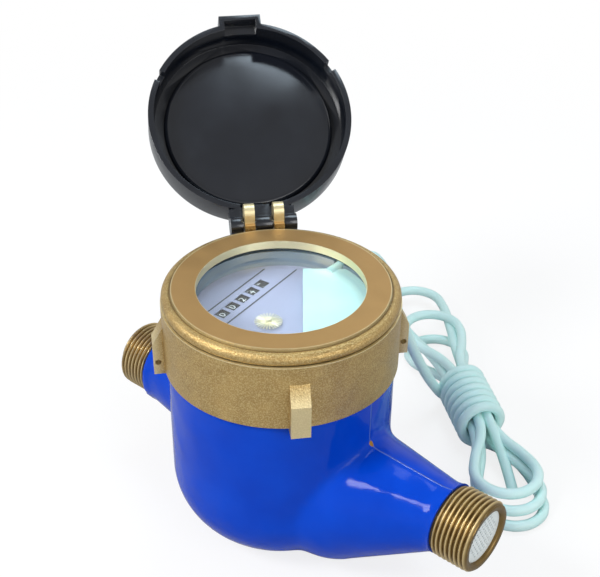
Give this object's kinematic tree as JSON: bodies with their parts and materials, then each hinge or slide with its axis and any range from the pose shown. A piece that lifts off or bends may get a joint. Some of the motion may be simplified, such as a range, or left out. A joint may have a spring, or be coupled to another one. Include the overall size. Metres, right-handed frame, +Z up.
{
  "type": "water meter",
  "caption": "Multi-jet water meter: blue cast bowl with threaded stubs, brass ring, hinged lid, dry dial under glass and a pulse cable.",
  "frame": {"origin": "middle of the flat base under the bowl, on the register axis", "axes": "+X along the pipe axis towards the inlet end, +Z up along the register axis"},
  "size_m": [0.194, 0.214, 0.1572],
  "materials": {
    "painted_brass": "glossy enamel on cast brass, bare at the threads",
    "cast_brass": "sand cast, machined on the top face",
    "plain_brass": "turned",
    "black_plastic": "moulded, half gloss",
    "drum_black": "moulded",
    "white_plastic": "moulded",
    "pale_plastic": "moulded, satin",
    "cable_sheath": "smooth extruded sheath",
    "dial_print": "printed plate",
    "window_glass": "clear, polished",
    "seal_rubber": "moulded",
    "reed_glass": "sealed tube",
    "steel": "ground",
    "magnet": "sintered"
  },
  "bodies": {
    "casing": {"meter_body": "painted_brass", "inlet_strainer": "white_plastic", "measuring_chamber": "white_plastic", "impeller_pivot": "steel", "chamber_cover": "white_plastic", "separator_plate": "plain_brass", "body_seal": "seal_rubber", "register_can": "white_plastic", "gear_plate": "plain_brass", "drum_shaft": "steel", "carry_pinions": "white_plastic", "dial_plate": "dial_print", "pulse_sensor": "pale_plastic", "reed_switch": "reed_glass", "sensor_lead": "cable_sheath", "window_glass": "window_glass", "window_gasket": "seal_rubber", "retaining_ring": "cast_brass", "cable_grommet": "seal_rubber", "lid_hinge_pin": "steel", "cable_lead": "cable_sheath", "cable_hank": "cable_sheath"},
    "lid_flap": {"lid": "black_plastic"},
    "impeller_rotor": {"impeller": "white_plastic", "drive_magnet": "magnet"},
    "follower_rotor": {"follower_spindle": "steel", "follower_magnet": "magnet"},
    "star_rotor": {"star_gear": "plain_brass", "star_indicator": "plain_brass"},
    "pulse_rotor": {"pulse_wheel": "white_plastic", "pulse_magnet": "magnet"},
    "reduction_rotor": {"reduction_gear": "white_plastic"},
    "worm_rotor": {"worm_gear": "white_plastic"},
    "units_drum": {"number_drum_1": "drum_black", "drum_drive_wheel": "white_plastic"},
    "tens_drum": {"number_drum_2": "drum_black"},
    "hundreds_drum": {"number_drum_3": "drum_black"},
    "thousands_drum": {"number_drum_4": "drum_black"},
    "ten_thousands_drum": {"number_drum_5": "drum_black"}
  },
  "joints": [
    {"name": "lid_swing", "type": "hinge", "parent": "casing", "child": "lid_flap", "pos_m": [-0.03457, 0.03005, 0.1018], "axis": [-0.6561, -0.7547, 0], "range_deg": [-140, 0]},
    {"name": "impeller_spin", "type": "hinge", "parent": "casing", "child": "impeller_rotor", "pos_m": [0, 0, 0.03], "axis": [0, 0, 1], "continuous": true},
    {"name": "follower_spin", "type": "hinge", "parent": "casing", "child": "follower_rotor", "pos_m": [0, 0, 0.07], "axis": [0, 0, 1], "continuous": true},
    {"name": "star_spin", "type": "hinge", "parent": "casing", "child": "star_rotor", "pos_m": [0.00081, -0.00766, 0.08], "axis": [0, 0, 1], "continuous": true},
    {"name": "pulse_wheel_spin", "type": "hinge", "parent": "casing", "child": "pulse_rotor", "pos_m": [0.01153, 0.00967, 0.075], "axis": [0, 0, 1], "continuous": true},
    {"name": "reduction_spin", "type": "hinge", "parent": "casing", "child": "reduction_rotor", "pos_m": [-0.00424, 0.00999, 0.077], "axis": [0, 0, 1], "continuous": true},
    {"name": "worm_spin", "type": "hinge", "parent": "casing", "child": "worm_rotor", "pos_m": [-0.01366, 0.01537, 0.078], "axis": [0, 0, 1], "continuous": true},
    {"name": "units_drum_turn", "type": "hinge", "parent": "casing", "child": "units_drum", "pos_m": [-0.01794, 0.00998, 0.0836], "axis": [-0.1045, 0.9945, 0], "continuous": true},
    {"name": "tens_drum_turn", "type": "hinge", "parent": "casing", "child": "tens_drum", "pos_m": [-0.01733, 0.00411, 0.0836], "axis": [-0.1045, 0.9945, 0], "continuous": true},
    {"name": "hundreds_drum_turn", "type": "hinge", "parent": "casing", "child": "hundreds_drum", "pos_m": [-0.01671, -0.00176, 0.0836], "axis": [-0.1045, 0.9945, 0], "continuous": true},
    {"name": "thousands_drum_turn", "type": "hinge", "parent": "casing", "child": "thousands_drum", "pos_m": [-0.01609, -0.00762, 0.0836], "axis": [-0.1045, 0.9945, 0], "continuous": true},
    {"name": "ten_thousands_drum_turn", "type": "hinge", "parent": "casing", "child": "ten_thousands_drum", "pos_m": [-0.01547, -0.01349, 0.0836], "axis": [-0.1045, 0.9945, 0], "continuous": true}
  ],
  "couplings": [
    {"joint": "follower_spin", "follows": "impeller_spin", "ratio": 1},
    {"joint": "star_spin", "follows": "impeller_spin", "ratio": -0.375},
    {"joint": "pulse_wheel_spin", "follows": "impeller_spin", "ratio": -0.16216},
    {"joint": "reduction_spin", "follows": "impeller_spin", "ratio": -0.24},
    {"joint": "worm_spin", "follows": "impeller_spin", "ratio": 0.0576},
    {"joint": "units_drum_turn", "follows": "impeller_spin", "ratio": 0.00288}
  ]
}
